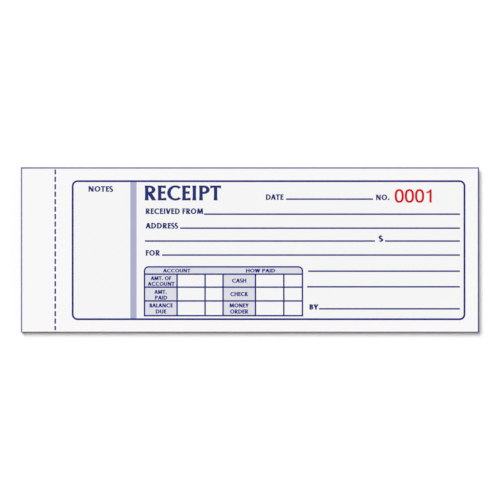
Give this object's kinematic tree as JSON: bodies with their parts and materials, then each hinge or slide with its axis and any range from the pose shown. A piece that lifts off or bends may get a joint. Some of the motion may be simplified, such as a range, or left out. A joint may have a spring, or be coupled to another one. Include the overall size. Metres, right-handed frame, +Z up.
{
  "type": "receipt book",
  "caption": "Left-bound carbonless receipt book: perforated white originals over canary copies, padded on the left edge in a wraparound card cover with a fold-over flap.",
  "frame": {"origin": "under the middle of the book, on the surface it lies on", "axes": "+X along the form from the bound edge to the open edge, +Y to the top of the form, +Z up through the sheets"},
  "size_m": [0.1932, 0.0696, 0.0059],
  "materials": {
    "cover_card": "matte coloured card",
    "white_bond": "matte white bond",
    "canary_bond": "matte canary bond",
    "padding_adhesive": "satin dried padding adhesive"
  },
  "bodies": {
    "pad": {"cover_back_panel": "cover_card", "cover_spine_panel": "cover_card", "padding_glue": "padding_adhesive"},
    "gusset": {"cover_gusset": "cover_card"},
    "flap": {"cover_flap": "cover_card"},
    "leaf_01": {"set_01_original_stub": "white_bond"},
    "slip_01": {"set_01_original_slip": "white_bond"},
    "leaf_02": {"set_01_copy": "canary_bond"},
    "leaf_03": {"set_02_original": "white_bond"},
    "leaf_04": {"set_02_copy": "canary_bond"},
    "leaf_05": {"set_03_original": "white_bond"},
    "leaf_06": {"set_03_copy": "canary_bond"},
    "leaf_07": {"set_04_original": "white_bond"},
    "leaf_08": {"set_04_copy": "canary_bond"},
    "leaf_09": {"set_05_original": "white_bond"},
    "leaf_10": {"set_05_copy": "canary_bond"},
    "leaf_11": {"set_06_original": "white_bond"},
    "leaf_12": {"set_06_copy": "canary_bond"},
    "leaf_13": {"set_07_original": "white_bond"},
    "leaf_14": {"set_07_copy": "canary_bond"},
    "leaf_15": {"set_08_original": "white_bond"},
    "leaf_16": {"set_08_copy": "canary_bond"},
    "leaf_17": {"set_09_original": "white_bond"},
    "leaf_18": {"set_09_copy": "canary_bond"},
    "leaf_19": {"set_10_original": "white_bond"},
    "leaf_20": {"set_10_copy": "canary_bond"},
    "leaf_21": {"set_11_original": "white_bond"},
    "leaf_22": {"set_11_copy": "canary_bond"},
    "leaf_23": {"set_12_original": "white_bond"},
    "leaf_24": {"set_12_copy": "canary_bond"},
    "leaf_25": {"set_13_original": "white_bond"},
    "leaf_26": {"set_13_copy": "canary_bond"},
    "leaf_27": {"set_14_original": "white_bond"},
    "leaf_28": {"set_14_copy": "canary_bond"},
    "leaf_29": {"set_15_original": "white_bond"},
    "leaf_30": {"set_15_copy": "canary_bond"},
    "leaf_31": {"set_16_original": "white_bond"},
    "leaf_32": {"set_16_copy": "canary_bond"},
    "leaf_33": {"set_17_original": "white_bond"},
    "leaf_34": {"set_17_copy": "canary_bond"},
    "leaf_35": {"set_18_original": "white_bond"},
    "leaf_36": {"set_18_copy": "canary_bond"},
    "leaf_37": {"set_19_original": "white_bond"},
    "leaf_38": {"set_19_copy": "canary_bond"},
    "leaf_39": {"set_20_original": "white_bond"},
    "leaf_40": {"set_20_copy": "canary_bond"},
    "leaf_41": {"set_21_original": "white_bond"},
    "leaf_42": {"set_21_copy": "canary_bond"},
    "leaf_43": {"set_22_original": "white_bond"},
    "leaf_44": {"set_22_copy": "canary_bond"},
    "leaf_45": {"set_23_original": "white_bond"},
    "leaf_46": {"set_23_copy": "canary_bond"},
    "leaf_47": {"set_24_original": "white_bond"},
    "leaf_48": {"set_24_copy": "canary_bond"},
    "leaf_49": {"set_25_original": "white_bond"},
    "leaf_50": {"set_25_copy": "canary_bond"}
  },
  "joints": [
    {"name": "cover_wrap", "type": "hinge", "parent": "pad", "child": "gusset", "pos_m": [0.0966, 0, 0.00045], "axis": [0, -1, 0], "range_deg": [0, 270]},
    {"name": "flap_fold", "type": "hinge", "parent": "gusset", "child": "flap", "pos_m": [0.0908, 0, 0], "axis": [0, -1, 0], "range_deg": [0, 90]},
    {"name": "leaf_turn", "type": "hinge", "parent": "pad", "child": "leaf_01", "pos_m": [-0.096, 0, 0.00592], "axis": [0, -1, 0], "range_deg": [0, 172]},
    {"name": "slip_fold", "type": "hinge", "parent": "leaf_01", "child": "slip_01", "pos_m": [-0.0821, 0, 0.00592], "axis": [0, -1, 0], "range_deg": [0, 135]},
    {"name": "leaf_02_turn", "type": "hinge", "parent": "pad", "child": "leaf_02", "pos_m": [-0.096, 0, 0.00592], "axis": [0, -1, 0], "range_deg": [0, 171.4]},
    {"name": "leaf_03_turn", "type": "hinge", "parent": "pad", "child": "leaf_03", "pos_m": [-0.096, 0, 0.00592], "axis": [0, -1, 0], "range_deg": [0, 170.8]},
    {"name": "leaf_04_turn", "type": "hinge", "parent": "pad", "child": "leaf_04", "pos_m": [-0.096, 0, 0.00592], "axis": [0, -1, 0], "range_deg": [0, 170.2]},
    {"name": "leaf_05_turn", "type": "hinge", "parent": "pad", "child": "leaf_05", "pos_m": [-0.096, 0, 0.00592], "axis": [0, -1, 0], "range_deg": [0, 169.6]},
    {"name": "leaf_06_turn", "type": "hinge", "parent": "pad", "child": "leaf_06", "pos_m": [-0.096, 0, 0.00592], "axis": [0, -1, 0], "range_deg": [0, 169]},
    {"name": "leaf_07_turn", "type": "hinge", "parent": "pad", "child": "leaf_07", "pos_m": [-0.096, 0, 0.00592], "axis": [0, -1, 0], "range_deg": [0, 168.4]},
    {"name": "leaf_08_turn", "type": "hinge", "parent": "pad", "child": "leaf_08", "pos_m": [-0.096, 0, 0.00592], "axis": [0, -1, 0], "range_deg": [0, 167.8]},
    {"name": "leaf_09_turn", "type": "hinge", "parent": "pad", "child": "leaf_09", "pos_m": [-0.096, 0, 0.00592], "axis": [0, -1, 0], "range_deg": [0, 167.2]},
    {"name": "leaf_10_turn", "type": "hinge", "parent": "pad", "child": "leaf_10", "pos_m": [-0.096, 0, 0.00592], "axis": [0, -1, 0], "range_deg": [0, 166.6]},
    {"name": "leaf_11_turn", "type": "hinge", "parent": "pad", "child": "leaf_11", "pos_m": [-0.096, 0, 0.00592], "axis": [0, -1, 0], "range_deg": [0, 166]},
    {"name": "leaf_12_turn", "type": "hinge", "parent": "pad", "child": "leaf_12", "pos_m": [-0.096, 0, 0.00592], "axis": [0, -1, 0], "range_deg": [0, 165.4]},
    {"name": "leaf_13_turn", "type": "hinge", "parent": "pad", "child": "leaf_13", "pos_m": [-0.096, 0, 0.00592], "axis": [0, -1, 0], "range_deg": [0, 164.8]},
    {"name": "leaf_14_turn", "type": "hinge", "parent": "pad", "child": "leaf_14", "pos_m": [-0.096, 0, 0.00592], "axis": [0, -1, 0], "range_deg": [0, 164.2]},
    {"name": "leaf_15_turn", "type": "hinge", "parent": "pad", "child": "leaf_15", "pos_m": [-0.096, 0, 0.00592], "axis": [0, -1, 0], "range_deg": [0, 163.6]},
    {"name": "leaf_16_turn", "type": "hinge", "parent": "pad", "child": "leaf_16", "pos_m": [-0.096, 0, 0.00592], "axis": [0, -1, 0], "range_deg": [0, 163]},
    {"name": "leaf_17_turn", "type": "hinge", "parent": "pad", "child": "leaf_17", "pos_m": [-0.096, 0, 0.00592], "axis": [0, -1, 0], "range_deg": [0, 162.4]},
    {"name": "leaf_18_turn", "type": "hinge", "parent": "pad", "child": "leaf_18", "pos_m": [-0.096, 0, 0.00592], "axis": [0, -1, 0], "range_deg": [0, 161.8]},
    {"name": "leaf_19_turn", "type": "hinge", "parent": "pad", "child": "leaf_19", "pos_m": [-0.096, 0, 0.00592], "axis": [0, -1, 0], "range_deg": [0, 161.2]},
    {"name": "leaf_20_turn", "type": "hinge", "parent": "pad", "child": "leaf_20", "pos_m": [-0.096, 0, 0.00592], "axis": [0, -1, 0], "range_deg": [0, 160.6]},
    {"name": "leaf_21_turn", "type": "hinge", "parent": "pad", "child": "leaf_21", "pos_m": [-0.096, 0, 0.00592], "axis": [0, -1, 0], "range_deg": [0, 160]},
    {"name": "leaf_22_turn", "type": "hinge", "parent": "pad", "child": "leaf_22", "pos_m": [-0.096, 0, 0.00592], "axis": [0, -1, 0], "range_deg": [0, 159.4]},
    {"name": "leaf_23_turn", "type": "hinge", "parent": "pad", "child": "leaf_23", "pos_m": [-0.096, 0, 0.00592], "axis": [0, -1, 0], "range_deg": [0, 158.8]},
    {"name": "leaf_24_turn", "type": "hinge", "parent": "pad", "child": "leaf_24", "pos_m": [-0.096, 0, 0.00592], "axis": [0, -1, 0], "range_deg": [0, 158.2]},
    {"name": "leaf_25_turn", "type": "hinge", "parent": "pad", "child": "leaf_25", "pos_m": [-0.096, 0, 0.00592], "axis": [0, -1, 0], "range_deg": [0, 157.6]},
    {"name": "leaf_26_turn", "type": "hinge", "parent": "pad", "child": "leaf_26", "pos_m": [-0.096, 0, 0.00592], "axis": [0, -1, 0], "range_deg": [0, 157]},
    {"name": "leaf_27_turn", "type": "hinge", "parent": "pad", "child": "leaf_27", "pos_m": [-0.096, 0, 0.00592], "axis": [0, -1, 0], "range_deg": [0, 156.4]},
    {"name": "leaf_28_turn", "type": "hinge", "parent": "pad", "child": "leaf_28", "pos_m": [-0.096, 0, 0.00592], "axis": [0, -1, 0], "range_deg": [0, 155.8]},
    {"name": "leaf_29_turn", "type": "hinge", "parent": "pad", "child": "leaf_29", "pos_m": [-0.096, 0, 0.00592], "axis": [0, -1, 0], "range_deg": [0, 155.2]},
    {"name": "leaf_30_turn", "type": "hinge", "parent": "pad", "child": "leaf_30", "pos_m": [-0.096, 0, 0.00592], "axis": [0, -1, 0], "range_deg": [0, 154.6]},
    {"name": "leaf_31_turn", "type": "hinge", "parent": "pad", "child": "leaf_31", "pos_m": [-0.096, 0, 0.00592], "axis": [0, -1, 0], "range_deg": [0, 154]},
    {"name": "leaf_32_turn", "type": "hinge", "parent": "pad", "child": "leaf_32", "pos_m": [-0.096, 0, 0.00592], "axis": [0, -1, 0], "range_deg": [0, 153.4]},
    {"name": "leaf_33_turn", "type": "hinge", "parent": "pad", "child": "leaf_33", "pos_m": [-0.096, 0, 0.00592], "axis": [0, -1, 0], "range_deg": [0, 152.8]},
    {"name": "leaf_34_turn", "type": "hinge", "parent": "pad", "child": "leaf_34", "pos_m": [-0.096, 0, 0.00592], "axis": [0, -1, 0], "range_deg": [0, 152.2]},
    {"name": "leaf_35_turn", "type": "hinge", "parent": "pad", "child": "leaf_35", "pos_m": [-0.096, 0, 0.00592], "axis": [0, -1, 0], "range_deg": [0, 151.6]},
    {"name": "leaf_36_turn", "type": "hinge", "parent": "pad", "child": "leaf_36", "pos_m": [-0.096, 0, 0.00592], "axis": [0, -1, 0], "range_deg": [0, 151]},
    {"name": "leaf_37_turn", "type": "hinge", "parent": "pad", "child": "leaf_37", "pos_m": [-0.096, 0, 0.00592], "axis": [0, -1, 0], "range_deg": [0, 150.4]},
    {"name": "leaf_38_turn", "type": "hinge", "parent": "pad", "child": "leaf_38", "pos_m": [-0.096, 0, 0.00592], "axis": [0, -1, 0], "range_deg": [0, 149.8]},
    {"name": "leaf_39_turn", "type": "hinge", "parent": "pad", "child": "leaf_39", "pos_m": [-0.096, 0, 0.00592], "axis": [0, -1, 0], "range_deg": [0, 149.2]},
    {"name": "leaf_40_turn", "type": "hinge", "parent": "pad", "child": "leaf_40", "pos_m": [-0.096, 0, 0.00592], "axis": [0, -1, 0], "range_deg": [0, 148.6]},
    {"name": "leaf_41_turn", "type": "hinge", "parent": "pad", "child": "leaf_41", "pos_m": [-0.096, 0, 0.00592], "axis": [0, -1, 0], "range_deg": [0, 148]},
    {"name": "leaf_42_turn", "type": "hinge", "parent": "pad", "child": "leaf_42", "pos_m": [-0.096, 0, 0.00592], "axis": [0, -1, 0], "range_deg": [0, 147.4]},
    {"name": "leaf_43_turn", "type": "hinge", "parent": "pad", "child": "leaf_43", "pos_m": [-0.096, 0, 0.00592], "axis": [0, -1, 0], "range_deg": [0, 146.8]},
    {"name": "leaf_44_turn", "type": "hinge", "parent": "pad", "child": "leaf_44", "pos_m": [-0.096, 0, 0.00592], "axis": [0, -1, 0], "range_deg": [0, 146.2]},
    {"name": "leaf_45_turn", "type": "hinge", "parent": "pad", "child": "leaf_45", "pos_m": [-0.096, 0, 0.00592], "axis": [0, -1, 0], "range_deg": [0, 145.6]},
    {"name": "leaf_46_turn", "type": "hinge", "parent": "pad", "child": "leaf_46", "pos_m": [-0.096, 0, 0.00592], "axis": [0, -1, 0], "range_deg": [0, 145]},
    {"name": "leaf_47_turn", "type": "hinge", "parent": "pad", "child": "leaf_47", "pos_m": [-0.096, 0, 0.00592], "axis": [0, -1, 0], "range_deg": [0, 144.4]},
    {"name": "leaf_48_turn", "type": "hinge", "parent": "pad", "child": "leaf_48", "pos_m": [-0.096, 0, 0.00592], "axis": [0, -1, 0], "range_deg": [0, 143.8]},
    {"name": "leaf_49_turn", "type": "hinge", "parent": "pad", "child": "leaf_49", "pos_m": [-0.096, 0, 0.00592], "axis": [0, -1, 0], "range_deg": [0, 143.2]},
    {"name": "leaf_50_turn", "type": "hinge", "parent": "pad", "child": "leaf_50", "pos_m": [-0.096, 0, 0.00592], "axis": [0, -1, 0], "range_deg": [0, 142.6]}
  ],
  "couplings": [
    {"joint": "flap_fold", "follows": "cover_wrap", "ratio": 0.33333},
    {"joint": "leaf_02_turn", "follows": "leaf_turn", "ratio": 0.99651},
    {"joint": "leaf_03_turn", "follows": "leaf_turn", "ratio": 0.99302},
    {"joint": "leaf_04_turn", "follows": "leaf_turn", "ratio": 0.98953},
    {"joint": "leaf_05_turn", "follows": "leaf_turn", "ratio": 0.98605},
    {"joint": "leaf_06_turn", "follows": "leaf_turn", "ratio": 0.98256},
    {"joint": "leaf_07_turn", "follows": "leaf_turn", "ratio": 0.97907},
    {"joint": "leaf_08_turn", "follows": "leaf_turn", "ratio": 0.97558},
    {"joint": "leaf_09_turn", "follows": "leaf_turn", "ratio": 0.97209},
    {"joint": "leaf_10_turn", "follows": "leaf_turn", "ratio": 0.9686},
    {"joint": "leaf_11_turn", "follows": "leaf_turn", "ratio": 0.96512},
    {"joint": "leaf_12_turn", "follows": "leaf_turn", "ratio": 0.96163},
    {"joint": "leaf_13_turn", "follows": "leaf_turn", "ratio": 0.95814},
    {"joint": "leaf_14_turn", "follows": "leaf_turn", "ratio": 0.95465},
    {"joint": "leaf_15_turn", "follows": "leaf_turn", "ratio": 0.95116},
    {"joint": "leaf_16_turn", "follows": "leaf_turn", "ratio": 0.94767},
    {"joint": "leaf_17_turn", "follows": "leaf_turn", "ratio": 0.94419},
    {"joint": "leaf_18_turn", "follows": "leaf_turn", "ratio": 0.9407},
    {"joint": "leaf_19_turn", "follows": "leaf_turn", "ratio": 0.93721},
    {"joint": "leaf_20_turn", "follows": "leaf_turn", "ratio": 0.93372},
    {"joint": "leaf_21_turn", "follows": "leaf_turn", "ratio": 0.93023},
    {"joint": "leaf_22_turn", "follows": "leaf_turn", "ratio": 0.92674},
    {"joint": "leaf_23_turn", "follows": "leaf_turn", "ratio": 0.92326},
    {"joint": "leaf_24_turn", "follows": "leaf_turn", "ratio": 0.91977},
    {"joint": "leaf_25_turn", "follows": "leaf_turn", "ratio": 0.91628},
    {"joint": "leaf_26_turn", "follows": "leaf_turn", "ratio": 0.91279},
    {"joint": "leaf_27_turn", "follows": "leaf_turn", "ratio": 0.9093},
    {"joint": "leaf_28_turn", "follows": "leaf_turn", "ratio": 0.90581},
    {"joint": "leaf_29_turn", "follows": "leaf_turn", "ratio": 0.90233},
    {"joint": "leaf_30_turn", "follows": "leaf_turn", "ratio": 0.89884},
    {"joint": "leaf_31_turn", "follows": "leaf_turn", "ratio": 0.89535},
    {"joint": "leaf_32_turn", "follows": "leaf_turn", "ratio": 0.89186},
    {"joint": "leaf_33_turn", "follows": "leaf_turn", "ratio": 0.88837},
    {"joint": "leaf_34_turn", "follows": "leaf_turn", "ratio": 0.88488},
    {"joint": "leaf_35_turn", "follows": "leaf_turn", "ratio": 0.8814},
    {"joint": "leaf_36_turn", "follows": "leaf_turn", "ratio": 0.87791},
    {"joint": "leaf_37_turn", "follows": "leaf_turn", "ratio": 0.87442},
    {"joint": "leaf_38_turn", "follows": "leaf_turn", "ratio": 0.87093},
    {"joint": "leaf_39_turn", "follows": "leaf_turn", "ratio": 0.86744},
    {"joint": "leaf_40_turn", "follows": "leaf_turn", "ratio": 0.86395},
    {"joint": "leaf_41_turn", "follows": "leaf_turn", "ratio": 0.86047},
    {"joint": "leaf_42_turn", "follows": "leaf_turn", "ratio": 0.85698},
    {"joint": "leaf_43_turn", "follows": "leaf_turn", "ratio": 0.85349},
    {"joint": "leaf_44_turn", "follows": "leaf_turn", "ratio": 0.85},
    {"joint": "leaf_45_turn", "follows": "leaf_turn", "ratio": 0.84651},
    {"joint": "leaf_46_turn", "follows": "leaf_turn", "ratio": 0.84302},
    {"joint": "leaf_47_turn", "follows": "leaf_turn", "ratio": 0.83953},
    {"joint": "leaf_48_turn", "follows": "leaf_turn", "ratio": 0.83605},
    {"joint": "leaf_49_turn", "follows": "leaf_turn", "ratio": 0.83256},
    {"joint": "leaf_50_turn", "follows": "leaf_turn", "ratio": 0.82907}
  ]
}
